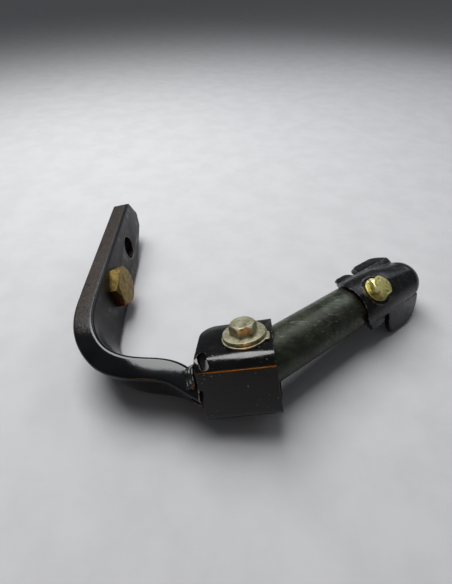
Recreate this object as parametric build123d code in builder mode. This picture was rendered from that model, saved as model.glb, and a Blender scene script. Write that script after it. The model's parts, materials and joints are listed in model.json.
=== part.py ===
from build123d import *
from math import cos, sin, radians
import os

os.makedirs("parts", exist_ok=True)

# Kickstand, lying as it is put down: the bracket bar on edge, the leg on one foot wing.
# Millimetres. X runs along the front of the bracket, Y away from it, and Z is up
# from the surface it lies on.

# ---------------------------------------------------------------- driving sizes
hinge_at = (-5.1, -66.6, 26.7)    # where the hinge axis crosses the leg's centre line
housing_roll = 11.8               # degrees, the housing's free end is tipped up
housing_pitch = 20.0              # degrees, the hinge axis leans back
leg_swing = 39.0                  # degrees, from along the housing's web
leg_roll = 47.0                   # degrees, foot bolt turned from the hinge axis

# bar of the bracket, forged a little narrower towards the housing
arm_width = 36.5
front_width = 32.5
bar_thickness = 12.0
bar_corner = 2.2
arm_from_hinge = (-89.6, 50.0)    # where the straight arm starts, in plan
arm_heading = -88.2               # degrees from X, towards the bend
arm_length = 105.0                # straight arm, to its tip
bend_from_hinge = (-53.2, 37.2)   # middle of the bend, in plan
bend_radius = 35.6                # to the middle of the bar
arm_lean = 12.0                   # degrees, the bar's top edge leans outward
bend_lean = 22.0
front_lean = 17.0
weld_lean = 20.0
weld_from_hinge = (-24.0, -7.0)   # where the bar meets the housing, in plan
weld_heading = -20.0              # degrees, the end is joggled towards the front
frame_hole = 16.5                 # clearance for an M16 frame bolt
upper_hole_at = 61.0              # from the start of the arm
lower_hole_at = 18.0

# pressed housing
sheet = 4.0
housing_left = 24.0
housing_right = 13.5
housing_front = 18.0
housing_back = 15.3
press_radius = 7.0
side_gap = 0.9
weld_leg = 3.2

# leg
tube_diameter = 27.2
tube_wall = 2.5
tube_end = 103.0
barrel_diameter = 26.0
bush_diameter = 16.0
bush_length = 9.0
sleeve_diameter = 12.0
running_gap = 0.05
thrust_sheet = 0.9
plug_depth = 5.0

# fasteners
thread = 8.0
head_flats = 12.0
head_height = 5.3
bolt_hole = 8.4
lock_sheet = 1.1
washer_sheet = 2.2
washer_diameter = 21.5
nut_washer_sheet = 1.2
thin_nut_height = 4.0
frame_flats = 24.0
frame_head = 6.0
frame_bolt_stub = 8.0
frame_shank = 16.3                # unthreaded part, in the bar's hole
frame_crest = 15.8                # over the thread's crests

# foot cap
cap_radius = 16.1
cap_sheet = 2.3
cap_start = 74.5
ridge_end = 103.0                 # the ridge narrows from here to its dome
dome_at = 125.0
dome_radius = 13.8
dome_aside = 2.0                  # the dome sits a little towards the front wing
foot_bolt_at = 89.5
seat_height = 14.7
foot_washer_sheet = 1.0
foot_nut_height = 5.0
skirt_end = 93.0
wing_start = 98.0
# side, start, end, reach and drop of each flap folded out of the cap's lower edge
flap_sizes = (
    (-1, 80.0, skirt_end, 18.5, 0.0),
    (1, 79.0, skirt_end, 19.0, 0.0),
    (-1, wing_start, 128.5, 27.0, 9.6),
    (1, 97.0, 128.0, 21.0, 2.5),
)

# ---------------------------------------------------------------- derived values
tube_radius = tube_diameter / 2
half_inside = tube_radius + side_gap
half_outside = half_inside + sheet
washer_seat = half_outside + lock_sheet
pivot_seat = washer_seat + washer_sheet
nut_seat = half_outside + nut_washer_sheet
barrel_half = half_inside - thrust_sheet - running_gap

# The hinge frame: Z along the hinge axis, X along the housing from bar to leg.
hinge = Plane(
    origin=hinge_at,
    x_dir=(cos(radians(housing_roll)), 0, sin(radians(housing_roll))),
    z_dir=(
        -sin(radians(housing_roll)) * cos(radians(housing_pitch)),
        sin(radians(housing_pitch)),
        cos(radians(housing_roll)) * cos(radians(housing_pitch)),
    ),
)


def swung(frame, angle):
    """The frame turned about its own Z."""
    turned_x = frame.x_dir.rotate(Axis(frame.origin, frame.z_dir), angle)
    return Plane(frame.origin, x_dir=turned_x, z_dir=frame.z_dir)


def rolled(frame, angle):
    """The frame turned about its own X."""
    turned_z = frame.z_dir.rotate(Axis(frame.origin, frame.x_dir), angle)
    return Plane(frame.origin, x_dir=frame.x_dir, z_dir=turned_z)


# The leg frame: X along the tube, Z through the foot bolt.
leg = rolled(swung(hinge, leg_swing), leg_roll)


def across(frame, x):
    """Plane square to the frame's X at x; its own axes are the frame's Y and Z."""
    return Plane(frame.from_local_coords((x, 0, 0)), x_dir=frame.y_dir, z_dir=frame.x_dir)


def side_of(frame):
    """Plane through the frame's X and Z, seen against its Y."""
    return Plane(frame.origin, x_dir=frame.x_dir, z_dir=-frame.y_dir)


def bar_section(point, heading, lean, width):
    """Plane across the bar at a plan point: local X up its width, Z along its run."""
    left = Vector(-sin(radians(heading)), cos(radians(heading)), 0)
    run = Vector(cos(radians(heading)), sin(radians(heading)), 0)
    up = Vector(0, 0, 1) * cos(radians(lean)) - left * sin(radians(lean))
    # the rounded lower corner touches the surface
    tall = (width / 2 - bar_corner) * cos(radians(lean))
    rise = tall + (bar_thickness / 2 - bar_corner) * sin(radians(lean)) + bar_corner
    return Plane((point.X, point.Y, rise), x_dir=up, z_dir=run)


def on_plan(from_hinge):
    """A plan point given from the hinge."""
    return Vector(hinge_at[0] + from_hinge[0], hinge_at[1] + from_hinge[1], 0)


def bend_point(turn):
    """Point on the bar's middle line after this many degrees of the bend."""
    heading = radians(turn - 90)
    return on_plan(bend_from_hinge) + Vector(sin(heading), -cos(heading), 0) * bend_radius


def turned(angle):
    """Plan direction at this many degrees from X."""
    return Vector(cos(radians(angle)), sin(radians(angle)), 0)


arm_start = bar_section(on_plan(arm_from_hinge), arm_heading, arm_lean, arm_width)
wall = across(hinge, -housing_left)

# ---------------------------------------------------------------- bracket bar
# Middle of the bar at each station: plan point, heading, lean and width.
weld_point = on_plan(weld_from_hinge)
stations = (
    (on_plan(arm_from_hinge), arm_heading, arm_lean, arm_width),
    (on_plan(arm_from_hinge) + turned(-87.5) * 8, -87, arm_lean, arm_width),
    (bend_point(6), -84, arm_lean, arm_width),
    (bend_point(22), -68, 14, 36),
    (bend_point(38), -52, 18, 35),
    (bend_point(54), -36, bend_lean, 34),
    (bend_point(70), -20, 21, 33),
    (bend_point(85), -5, 18.5, front_width),
    (bend_point(85) + turned(-6) * 12, -8, front_lean, front_width),
    (weld_point - turned(weld_heading) * 7, weld_heading, weld_lean, front_width),
    (weld_point + turned(weld_heading) * 12, weld_heading, weld_lean, front_width),
)

with BuildPart() as bracket_bar:
    # bend and front run, twisting a little more at each station
    for point, heading, lean, width in stations:
        with BuildSketch(bar_section(point, heading, lean, width)):
            RectangleRounded(width, bar_thickness, bar_corner)
    loft()
    # straight arm, standing on its narrow edge
    extrude(bracket_bar.faces().sort_by(Axis.Y)[-1], amount=arm_length)
    # the end is cut flush with the housing's wall
    with BuildSketch(wall):
        Rectangle(120, 120)
    extrude(amount=60, mode=Mode.SUBTRACT)

    # face of the arm: X along the arm to its tip, Y up its width
    arm_face = Plane(arm_start.origin, x_dir=-arm_start.z_dir, z_dir=-arm_start.y_dir)
    # the tip is rounded on top and cut away below
    with BuildSketch(arm_face):
        with BuildLine():
            half = arm_width / 2
            FilletPolyline(
                (arm_length - 48, -half - 0.5),
                (arm_length - 5.5, -5.5),
                (arm_length, 3),
                (arm_length - 8, half - 1.5),
                (arm_length - 14, half + 1),
                (arm_length - 14, half + 6),
                (arm_length + 8, half + 6),
                (arm_length + 8, -half - 6),
                (arm_length - 48, -half - 6),
                radius=3,
                close=True,
            )
        make_face()
    extrude(amount=bar_thickness, both=True, mode=Mode.SUBTRACT)
    with BuildSketch(arm_face):
        with Locations((upper_hole_at, 0), (lower_hole_at, 0)):
            Circle(frame_hole / 2)
    extrude(amount=bar_thickness, both=True, mode=Mode.SUBTRACT)

# ---------------------------------------------------------------- pivot housing
with BuildPart() as pivot_housing:
    # folded sheet: top plate, front web and bottom plate, closed by a wall on the left
    with BuildSketch(across(hinge, -housing_left)) as outside:
        with Locations(((housing_back - housing_front) / 2, 0)):
            Rectangle(housing_back + housing_front, 2 * half_outside)
        fillet(outside.vertices().group_by(Axis.X)[0], press_radius)
    extrude(amount=housing_left + housing_right)
    with BuildSketch(across(hinge, -housing_left + sheet)) as inside:
        with Locations(((housing_back - housing_front + sheet) / 2 + 2, 0)):
            Rectangle(housing_back + housing_front - sheet + 4, 2 * half_inside)
        fillet(inside.vertices().group_by(Axis.X)[0], press_radius - sheet)
    extrude(amount=housing_left + housing_right, mode=Mode.SUBTRACT)
    # plan outline with its rounded corners
    with BuildSketch(hinge.offset(-half_outside - 1)) as plan:
        with Locations(((housing_right - housing_left) / 2, (housing_back - housing_front) / 2)):
            Rectangle(housing_right + housing_left, housing_back + housing_front)
        left_corners = plan.vertices().group_by(Axis.X)[0].sort_by(Axis.Y)
        right_corners = plan.vertices().group_by(Axis.X)[-1].sort_by(Axis.Y)
        fillet(left_corners[-1], 9)
        fillet(left_corners[0], 9)
        fillet(right_corners[-1], 4)
    extrude(amount=2 * half_outside + 2, mode=Mode.INTERSECT)
    # relief slot where the top fold meets the end fold
    relief = Plane(
        hinge.from_local_coords((-housing_left + 4.2, -housing_front + 2.5, half_outside)),
        x_dir=hinge.x_dir,
        z_dir=hinge.z_dir - hinge.y_dir,
    )
    with BuildSketch(relief):
        SlotOverall(9.5, 4.4, rotation=105)
    extrude(amount=7, both=True, mode=Mode.SUBTRACT)
    # pivot holes through both plates
    with BuildSketch(hinge):
        Circle(bolt_hole / 2)
    extrude(amount=half_outside + 1, both=True, mode=Mode.SUBTRACT)

# ---------------------------------------------------------------- weld of bar to housing
# The bead stands on the wall around the bar's end.
end_section = bar_section(weld_point, weld_heading, weld_lean, front_width)
end_run = turned(weld_heading)
to_wall = (wall.origin - end_section.origin).dot(wall.z_dir) / end_run.dot(wall.z_dir)
bead_foot = Plane(
    end_section.origin + end_run * to_wall,
    x_dir=end_section.x_dir,
    z_dir=-wall.z_dir,
)
with BuildPart() as housing_weld:
    with BuildSketch(bead_foot):
        bead_width = bar_thickness + 2 * weld_leg
        RectangleRounded(front_width + 2 * weld_leg, bead_width, bar_corner + weld_leg)
    extrude(amount=weld_leg, taper=35)
    # kept only where there is wall to melt into
    with BuildSketch(wall):
        with Locations(((housing_back - housing_front) / 2, 0)):
            RectangleRounded(housing_back + housing_front, 2 * half_outside, press_radius - 1)
    extrude(amount=-weld_leg - 1, mode=Mode.INTERSECT)
    add(bracket_bar.part, mode=Mode.SUBTRACT)


def hexagon(flats):
    return RegularPolygon(flats / 2, 6, major_radius=False)




pieces = {}


def ring(name, plane, outer, bore, thickness):
    """A round piece with a straight bore, its foot on the plane."""
    with BuildPart() as piece:
        with BuildSketch(plane):
            Circle(outer / 2)
            Circle(bore / 2, mode=Mode.SUBTRACT)
        extrude(amount=thickness)
    pieces[name] = piece
    return piece


def hex_bolt(name, seat, flats, height, diameter, reach, chamfer_size):
    """A hexagon bolt: head above the seat plane, shank below it."""
    with BuildPart() as piece:
        with BuildSketch(seat):
            hexagon(flats)
        extrude(amount=height)
        # the top corners are turned down to a cone
        with BuildSketch(seat):
            Circle(flats / 2 + 0.95 * height)
        extrude(amount=height, taper=45, mode=Mode.INTERSECT)
        with BuildSketch(seat):
            Circle(diameter / 2)
        extrude(amount=-reach)
        tip = piece.edges().filter_by(GeomType.CIRCLE).sort_by(
            Axis(seat.origin, seat.z_dir)
        )[0]
        chamfer(tip, chamfer_size)
    pieces[name] = piece
    return piece


def hex_nut(name, seat, flats, height, bore):
    """A plain hexagon nut standing on the seat plane."""
    with BuildPart() as piece:
        with BuildSketch(seat):
            hexagon(flats)
            Circle(bore / 2, mode=Mode.SUBTRACT)
        extrude(amount=height)
    pieces[name] = piece
    return piece


# ---------------------------------------------------------------- pivot fasteners
pivot_up = swung(hinge, 11)
pivot_bolt_end = nut_seat + thin_nut_height + 0.9
hex_bolt(
    "pivot_bolt", pivot_up.offset(pivot_seat), head_flats, head_height,
    thread, pivot_seat + pivot_bolt_end, 0.8,
)
ring("pivot_washer", hinge.offset(washer_seat), washer_diameter, bolt_hole, washer_sheet)
# lock plate: a thin disc with one flat side and a small tab
with BuildPart() as pivot_lock_plate:
    with BuildSketch(hinge.offset(half_outside)):
        Circle(washer_diameter / 2 + 0.7)
        with Locations((washer_diameter / 2 - 1, -2)):
            RectangleRounded(5, 7, 1.2)
        Circle(bolt_hole / 2, mode=Mode.SUBTRACT)
    extrude(amount=lock_sheet)
pieces["pivot_lock_plate"] = pivot_lock_plate
ring("pivot_nut_washer", hinge.offset(-nut_seat), 16, bolt_hole, nut_washer_sheet)
hex_nut("pivot_nut", pivot_up.offset(-nut_seat - thin_nut_height), head_flats, thin_nut_height, thread)
# sleeve clamped between the plates, and the thrust washers beside it
ring("pivot_sleeve", hinge.offset(-half_inside), sleeve_diameter, bolt_hole, 2 * half_inside)
thrust_outer = barrel_diameter - 5
ring("thrust_washer_upper", hinge.offset(half_inside - thrust_sheet), thrust_outer,
     sleeve_diameter, thrust_sheet)
ring("thrust_washer_lower", hinge.offset(-half_inside), thrust_outer, sleeve_diameter, thrust_sheet)

# ---------------------------------------------------------------- leg
with BuildPart() as leg_barrel:
    with BuildSketch(hinge.offset(-barrel_half)):
        Circle(barrel_diameter / 2)
        Circle(bush_diameter / 2, mode=Mode.SUBTRACT)
    extrude(amount=2 * barrel_half)
pieces["leg_barrel"] = leg_barrel
bush_bore = sleeve_diameter + 2 * running_gap
ring("pivot_bush_upper", hinge.offset(barrel_half - bush_length), bush_diameter, bush_bore, bush_length)
ring("pivot_bush_lower", hinge.offset(-barrel_half), bush_diameter, bush_bore, bush_length)

with BuildPart() as leg_tube:
    with BuildSketch(across(leg, 0)):
        Circle(tube_radius)
        Circle(tube_radius - tube_wall, mode=Mode.SUBTRACT)
    extrude(amount=tube_end)
    # coped to the barrel
    with BuildSketch(hinge.offset(-tube_radius - 1)):
        Circle(barrel_diameter / 2)
    extrude(amount=tube_diameter + 2, mode=Mode.SUBTRACT)
    # hole for the foot bolt, in the upper wall only
    with BuildSketch(leg):
        with Locations((foot_bolt_at, 0)):
            Circle(bolt_hole / 2)
    extrude(amount=cap_radius, mode=Mode.SUBTRACT)
pieces["leg_tube"] = leg_tube

# cup-shaped plug in the tube's outer end
with BuildPart() as leg_plug:
    with BuildSketch(across(leg, tube_end)):
        Circle(tube_radius - 1.2)
    extrude(amount=2)
    with BuildSketch(across(leg, tube_end)):
        Circle(tube_radius - tube_wall)
        Circle(tube_radius - tube_wall - 2.2, mode=Mode.SUBTRACT)
    extrude(amount=-plug_depth)
pieces["leg_plug"] = leg_plug

# ---------------------------------------------------------------- foot cap
with BuildPart() as flaps:
    for side, start, end, reach, drop in flap_sizes:
        with BuildSketch(across(leg, start)):
            with BuildLine():
                Polyline(
                    (side * 9, 5),
                    (side * 15.2, 5),
                    (side * reach, 1.4 - drop),
                    (side * (reach - 1.2), -0.8 - drop),
                    (side * 13.6, 2.2),
                    (side * 9, 2.2),
                    close=True,
                )
            make_face()
        extrude(amount=end - start)
    # rounded corners, in plan
    with BuildSketch(leg.offset(-20)):
        for side, start, end, reach, drop in flap_sizes:
            with Locations(((start + end) / 2, side * reach / 2)):
                RectangleRounded(end - start, reach, (end - start) * 0.3)
    extrude(amount=50, mode=Mode.INTERSECT)

with BuildPart() as foot_cap:
    # ridge over the tube, then narrowing to a dome
    with BuildSketch(across(leg, cap_start)):
        Circle(cap_radius)
    extrude(amount=ridge_end - cap_start)
    with BuildSketch(across(leg, ridge_end)):
        Circle(cap_radius)
    with BuildSketch(across(leg, dome_at)):
        with Locations((-dome_aside, 0)):
            Circle(dome_radius)
    loft()
    dome = Location(leg.from_local_coords((dome_at, -dome_aside, 0)))
    with Locations(dome):
        Sphere(dome_radius)
    add(flaps.part)
    # raised seat under the bolt's washer
    with BuildSketch(leg.offset(seat_height - 2)):
        with Locations((foot_bolt_at, 0)):
            Circle(9.5)
    extrude(amount=2)
    with BuildSketch(leg.offset(seat_height)):
        with Locations((foot_bolt_at, 0)):
            Circle(9.5)
    extrude(amount=4, mode=Mode.SUBTRACT)
    # hollow for the tube, then everything under the skirts is cut off
    with BuildSketch(across(leg, cap_start - 1)):
        Circle(cap_radius - cap_sheet)
    extrude(amount=ridge_end - cap_start + 1, mode=Mode.SUBTRACT)
    with BuildSketch(across(leg, ridge_end)):
        Circle(cap_radius - cap_sheet)
    with BuildSketch(across(leg, dome_at)):
        with Locations((-dome_aside, 0)):
            Circle(dome_radius - cap_sheet)
    loft(mode=Mode.SUBTRACT)
    with Locations(dome):
        Sphere(dome_radius - cap_sheet, mode=Mode.SUBTRACT)
    with BuildSketch(leg):
        with Locations((dome_at - 20, 0)):
            Rectangle(120, 2 * (cap_radius - cap_sheet))
    extrude(amount=-40, mode=Mode.SUBTRACT)
    # side view outline: rounded front corner, skirt edge, notch and wing
    with BuildSketch(side_of(leg)):
        with BuildLine():
            FilletPolyline(
                (cap_start, 30),
                (cap_start, 11),
                (cap_start + 8, -2),
                (skirt_end - 1, -2),
                (skirt_end + 2, 3.5),
                (wing_start - 1, 3),
                (wing_start, -20),
                (dome_at + 20, -20),
                (dome_at + 20, 30),
                radius=1.2,
                close=True,
            )
        make_face()
    extrude(amount=40, both=True, mode=Mode.INTERSECT)
    # bolt hole
    with BuildSketch(leg):
        with Locations((foot_bolt_at, 0)):
            Circle(bolt_hole / 2)
    extrude(amount=30, mode=Mode.SUBTRACT)
pieces["foot_cap"] = foot_cap

bolt_frame = Plane(leg.from_local_coords((foot_bolt_at, 0, 0)), x_dir=leg.x_dir, z_dir=leg.z_dir)
ring("foot_bolt_washer", bolt_frame.offset(seat_height), 15, bolt_hole, foot_washer_sheet)
foot_nut_seat = 8.6                # its corners rest in the tube's bore
foot_seat = seat_height + foot_washer_sheet
hex_bolt(
    "foot_bolt", swung(bolt_frame, 6).offset(foot_seat), head_flats, head_height,
    thread, foot_seat - foot_nut_seat + foot_nut_height + 2, 0.8,
)
hex_nut("foot_nut", bolt_frame.offset(foot_nut_seat - foot_nut_height), head_flats,
        foot_nut_height, thread)

# ---------------------------------------------------------------- frame bolt in the arm
frame_bolt_seat = Plane(
    arm_face.from_local_coords((lower_hole_at, 0, bar_thickness / 2)),
    x_dir=arm_face.x_dir,
    z_dir=arm_face.z_dir,
)
with BuildPart() as frame_bolt:
    with BuildSketch(swung(frame_bolt_seat, 30)):
        hexagon(frame_flats)
    extrude(amount=frame_head)
    with BuildSketch(frame_bolt_seat):
        Circle(frame_flats / 2 + 0.95 * frame_head)
    extrude(amount=frame_head, taper=45, mode=Mode.INTERSECT)
    with BuildSketch(frame_bolt_seat):
        Circle(frame_shank / 2)
    extrude(amount=-bar_thickness)
    # threaded end that stands out behind the bar
    with BuildSketch(frame_bolt_seat.offset(-bar_thickness)):
        Circle(frame_crest / 2)
    extrude(amount=-frame_bolt_stub)
    rims = frame_bolt.edges().filter_by(GeomType.CIRCLE)
    chamfer(rims.sort_by(Axis(frame_bolt_seat.origin, frame_bolt_seat.z_dir))[0], 1.5)
pieces["frame_bolt"] = frame_bolt

# ---------------------------------------------------------------- one file per piece
pieces["bracket_bar"] = bracket_bar
pieces["pivot_housing"] = pivot_housing
pieces["housing_weld"] = housing_weld
for name, piece in pieces.items():
    piece.part.label = name
    export_step(piece.part, f"parts/{name}.step")
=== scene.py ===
# %% [markdown]
# A folding kickstand leg, dressed for a render.
#
# The real thing is a steel bracket that bolts to a vehicle's frame, a pressed housing
# welded to it, and a tube leg that folds on a bolt. The shapes come from a imported CAD
# model. This script gives most pieces soft edges and every piece a finish, then sets up
# a floor, a few lights and a camera.

# %% Load the imported model
import bpy
import bmesh
import json
from math import radians, sin, tau
from mathutils import Vector, Matrix, noise


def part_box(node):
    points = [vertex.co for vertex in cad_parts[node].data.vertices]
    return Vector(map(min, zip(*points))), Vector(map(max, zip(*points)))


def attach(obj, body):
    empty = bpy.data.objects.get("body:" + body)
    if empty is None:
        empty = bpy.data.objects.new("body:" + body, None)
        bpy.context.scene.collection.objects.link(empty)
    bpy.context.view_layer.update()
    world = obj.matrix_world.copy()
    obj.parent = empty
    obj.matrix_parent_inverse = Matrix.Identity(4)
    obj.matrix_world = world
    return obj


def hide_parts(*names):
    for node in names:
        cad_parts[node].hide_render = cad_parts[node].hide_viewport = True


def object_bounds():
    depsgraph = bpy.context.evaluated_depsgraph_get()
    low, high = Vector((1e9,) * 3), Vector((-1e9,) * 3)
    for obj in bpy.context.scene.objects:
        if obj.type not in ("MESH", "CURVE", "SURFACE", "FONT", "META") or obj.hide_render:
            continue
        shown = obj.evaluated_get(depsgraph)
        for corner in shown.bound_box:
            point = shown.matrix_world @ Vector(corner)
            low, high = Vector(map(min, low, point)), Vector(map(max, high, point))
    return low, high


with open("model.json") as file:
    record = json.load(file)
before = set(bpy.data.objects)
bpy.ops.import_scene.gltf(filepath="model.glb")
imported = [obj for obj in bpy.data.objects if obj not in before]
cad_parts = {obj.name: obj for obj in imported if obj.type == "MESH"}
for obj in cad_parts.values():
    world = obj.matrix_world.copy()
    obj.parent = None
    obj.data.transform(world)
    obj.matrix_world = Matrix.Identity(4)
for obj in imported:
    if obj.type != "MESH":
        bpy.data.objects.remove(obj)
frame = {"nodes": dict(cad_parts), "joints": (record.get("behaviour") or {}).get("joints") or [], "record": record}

MM = 0.001
cad_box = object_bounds()

# %% [markdown]
# The hinge is the natural place to measure from. The joint in the record gives its
# point and its axis. The housing runs across that axis, and the leg's own direction is
# the long line from the hinge to the plug in the far end of the tube. With these
# directions a finish can follow the metal: scratches along the tube, wear on the bar's
# upper edge, and on a bolt's low side rust together with a painted orange reflection.

# %% Directions to measure from
joint = frame["joints"][0]
hinge_point = Vector(joint["pos_m"])
hinge_axis = Vector(joint["axis"]).normalized()


def middle(node):
    low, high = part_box(node)
    return (low + high) / 2


tube_run = middle("leg_plug") - hinge_point
tube_run = (tube_run - hinge_axis * tube_run.dot(hinge_axis)).normalized()
bar_face = (middle("frame_bolt") - Vector(frame["record"]["mounts"][1]["pos_m"])).normalized()
bar_up = Vector((-bar_face.z, 0, bar_face.x)).normalized()
print("hinge axis", tuple(round(v, 3) for v in hinge_axis))
print("tube run", tuple(round(v, 3) for v in tube_run))

# %% [markdown]
# Every finish below is a small graph of nodes. One helper adds a node, sets what it
# needs and links its inputs, so each material reads as a list of what is on the metal.
# Colours are written as the hex values a paint chart gives, and one function turns
# them into the linear numbers the renderer works with.

# %% Colour and node helpers


def colour(code):
    """An sRGB hex colour as linear red, green, blue and alpha."""
    parts = [int(code[i:i + 2], 16) / 255 for i in (1, 3, 5)]
    linear = [p / 12.92 if p <= 0.04045 else ((p + 0.055) / 1.055) ** 2.4 for p in parts]
    return (*linear, 1.0)


class Finish:
    """A material with its shader, and a way to add nodes to it."""

    def __init__(self, name, **shader):
        self.material = bpy.data.materials.new(name)
        self.material.use_nodes = True
        self.tree = self.material.node_tree
        self.shader = self.tree.nodes["Principled BSDF"]
        for socket, value in shader.items():
            self.shader.inputs[socket.replace("_", " ")].default_value = value

    def add(self, kind, settings=None, **inputs):
        """One node: settings are its own properties, inputs are values or links."""
        node = self.tree.nodes.new(kind)
        for key, value in (settings or {}).items():
            setattr(node, key, value)
        for key, value in inputs.items():
            index = int(key[1:]) if key[0] == "i" and key[1:].isdigit() else None
            socket = node.inputs[index if index is not None else key.replace("_", " ")]
            if isinstance(value, bpy.types.NodeSocket):
                self.tree.links.new(value, socket)
            else:
                socket.default_value = value
        return node

    def to_shader(self, socket, value):
        self.tree.links.new(value, self.shader.inputs[socket])


print("black at half grey:", [round(v, 3) for v in colour("#808080")[:3]])

# %% [markdown]
# Wear needs a few masks. A mask is a grey value: 0 where nothing happened to the metal,
# 1 where it did. Edges are found by asking how far a rounded normal leans away from the
# true one, so inside corners count too. Patches and specks are noise with a threshold,
# and the scale of each noise is worked out from the size of a real patch in millimetres.

# %% Masks


def per_mm(size):
    """Noise scale for features about this many millimetres across."""
    return 1.0 / (size * MM)


def place(finish):
    """Position on the object, which stays put when a joint turns."""
    return finish.add("ShaderNodeTexCoord").outputs["Object"]


def patches(finish, size, low, high, detail=4.0, where=None, offset=0.0):
    """Blotches this many millimetres across, between two thresholds."""
    at = where or place(finish)
    if offset:
        at = finish.add("ShaderNodeVectorMath", {"operation": "ADD"}, i0=at,
                        i1=(offset, offset * 0.7, -offset)).outputs["Vector"]
    cloud = finish.add("ShaderNodeTexNoise", Vector=at, Scale=per_mm(size), Detail=detail,
                       Roughness=0.6)
    ramp = finish.add("ShaderNodeMapRange", {"interpolation_type": "SMOOTHSTEP"},
                      Value=cloud.outputs["Fac"], From_Min=low, From_Max=high)
    return ramp.outputs["Result"]


def edges(finish, radius, low=0.02, high=0.25):
    """1 near a corner, within about this many millimetres."""
    soft = finish.add("ShaderNodeBevel", {"samples": 4}, Radius=radius * MM)
    true = finish.add("ShaderNodeNewGeometry")
    lean = finish.add("ShaderNodeVectorMath", {"operation": "DOT_PRODUCT"},
                      i0=soft.outputs["Normal"], i1=true.outputs["Normal"])
    away = finish.add("ShaderNodeMapRange", {"interpolation_type": "SMOOTHSTEP"},
                      Value=lean.outputs["Value"], From_Min=1 - low, From_Max=1 - high)
    return away.outputs["Result"]


def facing(finish, direction, low, high):
    """1 where the surface faces this way."""
    true = finish.add("ShaderNodeTexCoord").outputs["Normal"]
    lean = finish.add("ShaderNodeVectorMath", {"operation": "DOT_PRODUCT"},
                      i0=true, i1=tuple(direction))
    ramp = finish.add("ShaderNodeMapRange", {"interpolation_type": "SMOOTHSTEP"},
                      Value=lean.outputs["Value"], From_Min=low, From_Max=high)
    return ramp.outputs["Result"]


def along(finish, start, direction, low, high):
    """0 to 1 between two distances in millimetres from a point, along a direction."""
    run = finish.add("ShaderNodeVectorMath", {"operation": "SUBTRACT"}, i0=place(finish),
                     i1=tuple(start))
    length = finish.add("ShaderNodeVectorMath", {"operation": "DOT_PRODUCT"},
                        i0=run.outputs["Vector"], i1=tuple(direction))
    ramp = finish.add("ShaderNodeMapRange", {"interpolation_type": "SMOOTHSTEP"},
                      Value=length.outputs["Value"], From_Min=low * MM, From_Max=high * MM)
    return ramp.outputs["Result"]


def streaks(finish, direction, width, length, low, high):
    """Scratches that run along a direction: noise squeezed across it."""
    side = direction.orthogonal().normalized()
    frame_rows = Matrix((direction, side, direction.cross(side))).to_quaternion()
    turn = finish.add("ShaderNodeMapping", {"vector_type": "POINT"}, Vector=place(finish))
    turn.inputs["Rotation"].default_value = frame_rows.to_euler()
    turn.inputs["Scale"].default_value = (width / length, 1, 1)
    return patches(finish, width, low, high, detail=3.0, where=turn.outputs["Vector"])


def both(finish, a, b, operation="MULTIPLY"):
    """Two masks together."""
    return finish.add("ShaderNodeMath", {"operation": operation, "use_clamp": True},
                      i0=a, i1=b).outputs["Value"]


def over(finish, under, top, mask):
    """One colour laid over another where the mask is 1."""
    mix = finish.add("ShaderNodeMix", {"data_type": "RGBA"}, i0=mask, i6=under, i7=top)
    return mix.outputs[2]


def between(finish, mask, low, high):
    """A number that goes from low to high as the mask goes from 0 to 1."""
    ramp = finish.add("ShaderNodeMapRange", Value=mask, To_Min=low, To_Max=high)
    return ramp.outputs["Result"]


def relief(finish, height, depth, normal=None):
    """Bumps this many millimetres deep; a depth below zero makes pits."""
    extra = {"Normal": normal} if normal is not None else {}
    bump = finish.add("ShaderNodeBump", Height=height, Distance=depth * MM, Strength=1.0, **extra)
    return bump.outputs["Normal"]


# %% [markdown]
# Black enamel on forged steel, for the bracket bar. Fresh enamel is glossy, but hands
# and road dirt dull the flat faces, and years of rubbing take the upper narrow edge
# down to brown metal with pale specks. The arm's flat face gets a tone of its own, which
# is painted shade. A thin pale line along the sharpest edges is partly edge wear and partly
# a painted highlight. The glossy part is kept for the bend, which nothing rubs against.

# %% Bar: worn black enamel
bar = Finish("black_enamel_on_forged_steel", Specular_IOR_Level=0.38)
on_arm = along(bar, hinge_point, (0, 1, 0), 10, 34)
rubbed_edge = both(bar, facing(bar, bar_up, 0.80, 0.95), on_arm)
worn_top = both(bar, rubbed_edge, patches(bar, 9, 0.26, 0.44))
base = over(bar, colour("#08080a"), colour("#101114"), patches(bar, 14, 0.35, 0.65))
# The arm's flat face, picked by which way it faces, gets a tone of its own: painted shade.
base = over(bar, base, colour("#0d0e10"), both(bar, facing(bar, bar_face, 0.6, 0.9), on_arm))
base = over(bar, base, colour("#271d14"), both(bar, worn_top, patches(bar, 2.2, 0.28, 0.60)))
base = over(bar, base, colour("#493423"), both(bar, worn_top, patches(bar, 1.2, 0.60, 0.70, offset=3.1)))
base = over(bar, base, colour("#b9b2a4"), both(bar, worn_top, patches(bar, 0.9, 0.68, 0.74, offset=1.7)))
# Pale line along the edges: partly edge wear, partly a painted highlight.
edge_wear_and_painted_highlight = both(bar, edges(bar, 1.4, 0.03, 0.16), patches(bar, 5, 0.40, 0.54, offset=2.2))
base = over(bar, base, colour("#8f8b83"), edge_wear_and_painted_highlight)
bar.to_shader("Base Color", base)
satin = both(bar, on_arm, patches(bar, 6, 0.2, 0.5, offset=4.4))
glossy, handled, bare = ((value, value, value, 1) for value in (0.11, 0.40, 0.58))
dull = over(bar, over(bar, glossy, handled, satin), bare, worn_top)
bar.to_shader("Roughness", dull)
peel = bar.add("ShaderNodeTexNoise", Vector=place(bar), Scale=per_mm(2.4), Detail=2.0)
pits = patches(bar, 1.4, 0.45, 0.65, offset=5.0)
bar.to_shader("Normal", relief(bar, both(bar, worn_top, pits), -0.10,
                               relief(bar, peel.outputs["Fac"], 0.02)))
print("bar finish nodes:", len(bar.tree.nodes))

# %% [markdown]
# The housing has the same enamel, newer and glossier. It is sprayed, so it has a faint
# orange peel, and stones leave small pale scratches on its web.

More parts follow.
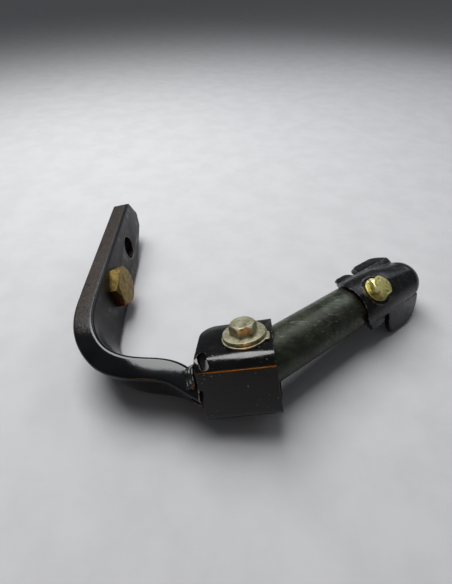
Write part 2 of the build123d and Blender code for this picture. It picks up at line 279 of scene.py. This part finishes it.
# %% Housing: sprayed gloss black
housing = Finish("gloss_black_enamel_on_pressed_sheet", Specular_IOR_Level=0.45)
chips = patches(housing, 1.3, 0.69, 0.73, detail=2.0)
rubbed = both(housing, edges(housing, 0.9, 0.03, 0.2), patches(housing, 4, 0.48, 0.62))
base = over(housing, colour("#050505"), colour("#0b0b0c"), patches(housing, 8, 0.4, 0.7))
base = over(housing, base, colour("#8d8a84"), both(housing, chips, patches(housing, 9, 0.46, 0.56)))
base = over(housing, base, colour("#6d685f"), rubbed)
housing.to_shader("Base Color", base)
haze = patches(housing, 5, 0.4, 0.65, offset=1.0)
housing.to_shader("Roughness", between(housing, haze, 0.16, 0.26))
peel = housing.add("ShaderNodeTexNoise", Vector=place(housing), Scale=per_mm(1.8), Detail=2.0)
housing.to_shader("Normal", relief(housing, peel.outputs["Fac"], 0.02))
print("housing finish nodes:", len(housing.tree.nodes))

# %% [markdown]
# The weld was made by hand and painted over, so the enamel is thin on its ripples and
# grey metal shows at their crests.

# %% Weld: painted bead
weld = Finish("enamel_over_weld_bead", IOR=1.5)
crest = both(weld, edges(weld, 0.7, 0.02, 0.2), patches(weld, 2, 0.4, 0.6))
base = over(weld, colour("#0e0e0f"), colour("#262523"), patches(weld, 3, 0.4, 0.65))
base = over(weld, base, colour("#8a847a"), crest)
weld.to_shader("Base Color", base)
weld.to_shader("Roughness", between(weld, patches(weld, 3, 0.4, 0.7, offset=2.0), 0.25, 0.5))
grit = weld.add("ShaderNodeTexNoise", Vector=place(weld), Scale=per_mm(0.7), Detail=4.0)
weld.to_shader("Normal", relief(weld, grit.outputs["Fac"], 0.06))
print("weld finish nodes:", len(weld.tree.nodes))

# %% [markdown]
# The pivot's bolt and washer are zinc plated. Old zinc goes dull and a little green,
# with chalky blotches, and it hardly mirrors anything, so it looks like pale stone with
# soft highlights.

# %% Fasteners: plated zinc


def plated(name, bright, shade, stain_and_glint, rough, stain_and_glint_side=None, metal=0.75):
    """Zinc plate: two tones of metal, a stain that on a given side is also a painted reflection, and fine turned
    marks.
    """
    finish = Finish(name, Metallic=metal)
    tone = over(finish, colour(bright), colour(shade), patches(finish, 3.5, 0.38, 0.62))
    stain_and_glint_mask = patches(finish, 2.0, 0.52, 0.66, offset=4.0)
    if stain_and_glint_side is not None:
        stain_and_glint_mask = both(finish, patches(finish, 2.0, 0.30, 0.45, offset=4.0),
                       facing(finish, stain_and_glint_side, 0.35, 0.8))
    tone = over(finish, tone, colour(stain_and_glint), stain_and_glint_mask)
    pale = both(finish, edges(finish, 0.5, 0.02, 0.2), patches(finish, 2.5, 0.4, 0.55))
    tone = over(finish, tone, colour("#c9c5b0"), pale)
    finish.to_shader("Base Color", tone)
    chalk = patches(finish, 1.5, 0.35, 0.65, offset=6.0)
    finish.to_shader("Roughness", between(finish, chalk, rough - 0.07, rough + 0.1))
    fine = finish.add("ShaderNodeTexNoise", Vector=place(finish), Scale=per_mm(0.6), Detail=4.0)
    finish.to_shader("Normal", relief(finish, fine.outputs["Fac"], 0.02))
    return finish


pivot_zinc = plated("aged_zinc_plate_grey_green", "#989680", "#837f68", "#6a6450", 0.42, metal=0.6)
foot_zinc = plated("yellow_zinc_plate_bright", "#c9c38a", "#a8a268", "#8a7f4c", 0.34)
# On the frame bolt the orange-brown on the facets facing low and forward is rust and a painted orange reflection.
low_side = Vector((0.0, -0.6, -0.8))
frame_zinc = plated("yellow_zinc_plate_rust_and_painted_glint", "#8a7746", "#6b5a33", "#8c3518", 0.42,
                    stain_and_glint_side=low_side)
print("fastener finishes:", pivot_zinc.material.name, foot_zinc.material.name)

# %% [markdown]
# The tube has an olive passivated plate, a green-brown colour that hot metal would
# never have. Boots and brushes scuff it along its length, so its scratches and its pale
# rubbed patches are stretched along the tube.

# %% Tube: olive passivated plate
tube = Finish("olive_passivated_plate_on_tube", Metallic=0.45)
base = over(tube, colour("#383a30"), colour("#2a2b23"), patches(tube, 9, 0.35, 0.65))
green = streaks(tube, tube_run, 5, 22, 0.50, 0.72)
base = over(tube, base, colour("#34402f"), green)
scuffed = streaks(tube, tube_run, 0.9, 16, 0.54, 0.72)
base = over(tube, base, colour("#6f7460"), both(tube, scuffed, patches(tube, 12, 0.40, 0.62)))
base = over(tube, base, colour("#1f2019"), patches(tube, 2.5, 0.62, 0.74, offset=7.0))
tube.to_shader("Base Color", base)
tube.to_shader("Roughness", between(tube, patches(tube, 4, 0.35, 0.65, offset=3.0), 0.24, 0.42))
fine = streaks(tube, tube_run, 0.35, 8, 0.3, 0.7)
tube.to_shader("Normal", relief(tube, fine, 0.015))
print("tube finish nodes:", len(tube.tree.nodes))

# %% [markdown]
# The foot cap is satin black: sprayed over a pressing, with road dust in its hollows and
# the enamel rubbed off along the saddle's edge.

# %% Foot cap: satin black
cap = Finish("satin_black_enamel_on_pressing", Specular_IOR_Level=0.32)
dust = both(cap, facing(cap, (0, 0, 1), 0.2, 0.9), patches(cap, 5, 0.44, 0.62))
base = over(cap, colour("#060607"), colour("#0e0e10"), patches(cap, 7, 0.4, 0.65))
base = over(cap, base, colour("#2b2b2b"), both(cap, dust, patches(cap, 1.2, 0.45, 0.65)))
base = over(cap, base, colour("#8b877e"),
            both(cap, edges(cap, 0.8, 0.03, 0.2), patches(cap, 4, 0.44, 0.58, offset=2.0)))
cap.to_shader("Base Color", base)
cap.to_shader("Roughness", between(cap, patches(cap, 6, 0.4, 0.6, offset=5.0), 0.16, 0.30))
peel = cap.add("ShaderNodeTexNoise", Vector=place(cap), Scale=per_mm(1.8), Detail=2.0)
cap.to_shader("Normal", relief(cap, peel.outputs["Fac"], 0.02))
print("cap finish nodes:", len(cap.tree.nodes))

# %% [markdown]
# The hidden pieces are plain workshop materials: a ground steel sleeve, sintered bronze
# bushes with dark pores, nylon thrust washers and a moulded plug.

# %% Inside: steel, bronze, nylon and moulded plastic


def workshop(name, light, dark, size, rough, metal, depth):
    """Two tones, a grain of this many millimetres, and a shallow relief."""
    finish = Finish(name, Metallic=metal)
    tone = over(finish, colour(light), colour(dark), patches(finish, size, 0.42, 0.62))
    finish.to_shader("Base Color", tone)
    finish.to_shader("Roughness", between(finish, patches(finish, size * 2, 0.4, 0.6, offset=1.0),
                                          rough - 0.06, rough + 0.08))
    grain = finish.add("ShaderNodeTexNoise", Vector=place(finish), Scale=per_mm(size), Detail=4.0)
    finish.to_shader("Normal", relief(finish, grain.outputs["Fac"], depth))
    return finish


steel = workshop("ground_steel_sleeve", "#a9a9a6", "#8e8e8b", 0.8, 0.28, 1.0, 0.01)
bronze = workshop("sintered_bronze", "#b08a55", "#6b4f2c", 0.5, 0.45, 1.0, 0.02)
nylon = workshop("natural_nylon", "#cfccbd", "#b9b5a4", 2.0, 0.5, 0.0, 0.02)
plastic = workshop("moulded_black_plastic", "#1c1c1c", "#272727", 1.2, 0.5, 0.0, 0.03)

# %% [markdown]
# Some pieces are dressed: a copy of the CAD mesh is worked on, and then stands for the
# CAD node and rides on the same body. Three steps are the same for every such piece:
# making the copy, turning its modifiers into plain mesh, and putting it in place.

# %% Copy a piece, and let the copy stand for it


def copy_of(node, mesh):
    """A new object for a dressed piece."""
    piece = bpy.data.objects.new("dressed_" + node, mesh)
    bpy.context.scene.collection.objects.link(piece)
    return piece


def settle(piece):
    """Turn the modifiers into plain mesh."""
    bpy.context.view_layer.update()
    evaluated = piece.evaluated_get(bpy.context.evaluated_depsgraph_get())
    mesh = bpy.data.meshes.new_from_object(evaluated)
    piece.modifiers.clear()
    piece.data = mesh
    return mesh


def stand_for(piece, node, finish, body):
    """Give the piece its finish, its body and the CAD node's place."""
    mesh = piece.data
    mesh.materials.clear()
    mesh.materials.append(finish.material)
    for face in mesh.polygons:
        face.use_smooth = True
        face.material_index = 0
    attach(piece, body)
    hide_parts(node)
    print(node, "->", len(mesh.polygons), "faces")


# %% [markdown]
# CAD edges are knife sharp, but plated and pressed metal never is. Flat triangles are
# merged back into faces, the corners get a small bevel, and the shading is smooth
# except across real edges. Overlap is clamped, so a bevel is never wider than the
# shortest edge it meets allows.

# %% Soften a piece's edges
same_point = 0.002 * MM
same_face = radians(0.6)
smooth_below = radians(40)


def soften(node, finish, body, width, segments=2, angle=32):
    """A copy of a CAD node with rounded edges, standing for it."""
    mesh = frame["nodes"][node].data.copy()
    build = bmesh.new()
    build.from_mesh(mesh)
    bmesh.ops.remove_doubles(build, verts=build.verts, dist=same_point)
    bmesh.ops.dissolve_limit(build, angle_limit=same_face, verts=build.verts, edges=build.edges)
    build.to_mesh(mesh)
    build.free()
    piece = copy_of(node, mesh)
    bevel = piece.modifiers.new("round the edges", "BEVEL")
    bevel.width = width * MM
    bevel.segments = segments
    bevel.limit_method = "ANGLE"
    bevel.angle_limit = radians(angle)
    bevel.use_clamp_overlap = True
    settle(piece)
    stand_for(piece, node, finish, body)
    piece.data.set_sharp_from_angle(angle=smooth_below)


# %% [markdown]
# The washers, nuts and plug come out visibly rounded. The bar, the housing and the foot
# cap have very short edges where their curves meet, so the clamp leaves them almost as
# sharp as the CAD, whatever width is asked for.

# %% Rounded pieces
soften("bracket_bar", bar, "bracket", 0.6, 3)
soften("pivot_housing", housing, "bracket", 0.7, 3)
soften("foot_cap", cap, "leg", 0.55, 3)
soften("pivot_bolt", pivot_zinc, "bracket", 0.3)
soften("pivot_washer", pivot_zinc, "bracket", 0.35, 3)
soften("pivot_lock_plate", pivot_zinc, "bracket", 0.25)
soften("pivot_nut", pivot_zinc, "bracket", 0.35)
soften("pivot_nut_washer", pivot_zinc, "bracket", 0.2)
soften("frame_bolt", frame_zinc, "bracket", 0.5, 3)
soften("foot_bolt", foot_zinc, "leg", 0.3)
soften("foot_bolt_washer", foot_zinc, "leg", 0.2)
soften("foot_nut", foot_zinc, "leg", 0.3)
soften("leg_plug", plastic, "leg", 0.4)

# %% [markdown]
# A weld is laid down drop by drop, so its bead has ripples about 1.6 mm apart. The CAD
# bead is remeshed into small even faces, swollen, and drawn out onto the bar, which moves
# its far edge by a few millimetres. Then each point is moved in or out by a wave, with
# some noise so that no two ripples match.

# %% Weld bead with ripples
ripple_pitch = 1.6 * MM
ripple_depth = 0.35 * MM
bead_swell = 0.45 * MM
bead_stretch = 0.35
wall_side = Vector((0.94, -0.34, 0)).normalized()
ripple_run = (wall_side + bar_up * 0.5).normalized()
voxel = 0.45 * MM
relax_rounds = 3
unevenness_size = 4 * MM


def rippled(node, finish, body):
    """The CAD bead with the ripples of a hand weld."""
    piece = copy_of(node, frame["nodes"][node].data.copy())
    remesh = piece.modifiers.new("even faces", "REMESH")
    remesh.mode = "VOXEL"
    remesh.voxel_size = voxel
    relax = piece.modifiers.new("relax", "SMOOTH")
    relax.iterations = relax_rounds
    bead = settle(piece)
    normals = [v.normal.copy() for v in bead.vertices]
    wall = max(v.co.dot(wall_side) for v in bead.vertices)
    for vertex, normal in zip(bead.vertices, normals):
        unevenness = noise.noise(vertex.co / unevenness_size) * ripple_pitch
        place_along = vertex.co.dot(ripple_run) + unevenness
        wave = sin(place_along / ripple_pitch * tau)
        vertex.co += wall_side * (vertex.co.dot(wall_side) - wall) * bead_stretch
        vertex.co += normal * (bead_swell + wave * ripple_depth)
    stand_for(piece, node, finish, body)


rippled("housing_weld", weld, "bracket")

# %% [markdown]
# Pieces whose CAD surface is already right keep it, and only change their material.

# %% Pieces kept as they are
kept = {
    "leg_tube": tube, "leg_barrel": tube,
    "pivot_sleeve": steel, "pivot_bush_upper": bronze, "pivot_bush_lower": bronze,
    "thrust_washer_upper": nylon, "thrust_washer_lower": nylon,
}
for node, finish in kept.items():
    for slot in frame["nodes"][node].material_slots:
        slot.material = finish.material
print("kept:", ", ".join(kept))

# %% [markdown]
# The floor is one pale, slightly mottled sheet, so that the shadows show where the part
# touches down.

# %% Floor
floor_finish = Finish("pale_grey_floor", Roughness=0.8, Specular_IOR_Level=0.0)
tone = over(floor_finish, colour("#aaaaab"), colour("#a6a6a7"), patches(floor_finish, 28, 0.35, 0.65))
floor_finish.to_shader("Base Color", tone)
floor_mesh = bpy.data.meshes.new("floor")
reach = 3.0
floor_mesh.from_pydata([(-reach, -reach, 0), (reach, -reach, 0), (reach, reach, 0), (-reach, reach, 0)],
                       [], [(0, 1, 2, 3)])
floor = bpy.data.objects.new("floor", floor_mesh)
floor_gap = 0.1 * MM
floor.location.z = cad_box[0][2] - floor_gap
floor_mesh.materials.append(floor_finish.material)
bpy.context.scene.collection.objects.link(floor)
print("floor at", round(floor.location.z / MM, 2), "mm")

# %% [markdown]
# The light is soft: a wide panel overhead and a little behind, so that the shadows fall
# forward, a weaker fill from behind on the right, and a dim grey sky. A low warm strip
# in front is seen only in reflections, and gives the black enamel thin orange glints. It
# lights no surface directly.

# %% Lights


def panel(name, place_at, aim, size, power, tint, size_y=None):
    """A soft rectangular light that looks at a point."""
    light = bpy.data.lights.new(name, "AREA")
    light.shape = "RECTANGLE"
    light.size = size
    light.size_y = size_y or size
    light.energy = power
    light.color = colour(tint)[:3]
    lamp = bpy.data.objects.new(name, light)
    lamp.location = place_at
    lamp.rotation_euler = (Vector(aim) - Vector(place_at)).to_track_quat("-Z", "Y").to_euler()
    bpy.context.scene.collection.objects.link(lamp)
    return lamp


panel("overhead", (-0.22, 0.24, 0.70), (0, -0.02, 0), 0.50, 8.5, "#ffffff", 0.62)
panel("fill", (0.45, 0.55, 0.6), (0, 0, 0), 0.6, 1.8, "#f4f6ff")
glint = panel("warm_strip", (-0.02, -0.50, 0.075), (0, -0.05, 0.03), 0.42, 0.50, "#ffa034", 0.006)
glint.visible_diffuse = False
world = bpy.data.worlds.new("grey_sky")
world.use_nodes = True
world.node_tree.nodes["Background"].inputs["Color"].default_value = colour("#e6e9ee")
world.node_tree.nodes["Background"].inputs["Strength"].default_value = 0.22
bpy.context.scene.world = world
bpy.context.scene.view_settings.view_transform = "Standard"
bpy.context.scene.view_settings.look = "Medium High Contrast"

# %% [markdown]
# The camera is close and looks steeply down, as a phone does over a workbench, so the
# near pieces look larger than the far ones.

# %% Camera
lens = bpy.data.cameras.new("camera")
lens.lens = 21.575
lens.clip_start = 0.01
camera = bpy.data.objects.new("camera", lens)
camera_from_hinge = Vector((-12.8, -101.6, 152.1)) * MM
camera_tilt = radians(46)
camera.location = hinge_point + camera_from_hinge
camera.rotation_euler = (camera_tilt, 0, 0)
bpy.context.scene.collection.objects.link(camera)
bpy.context.scene.camera = camera
print("camera", tuple(round(v, 3) for v in camera.location))
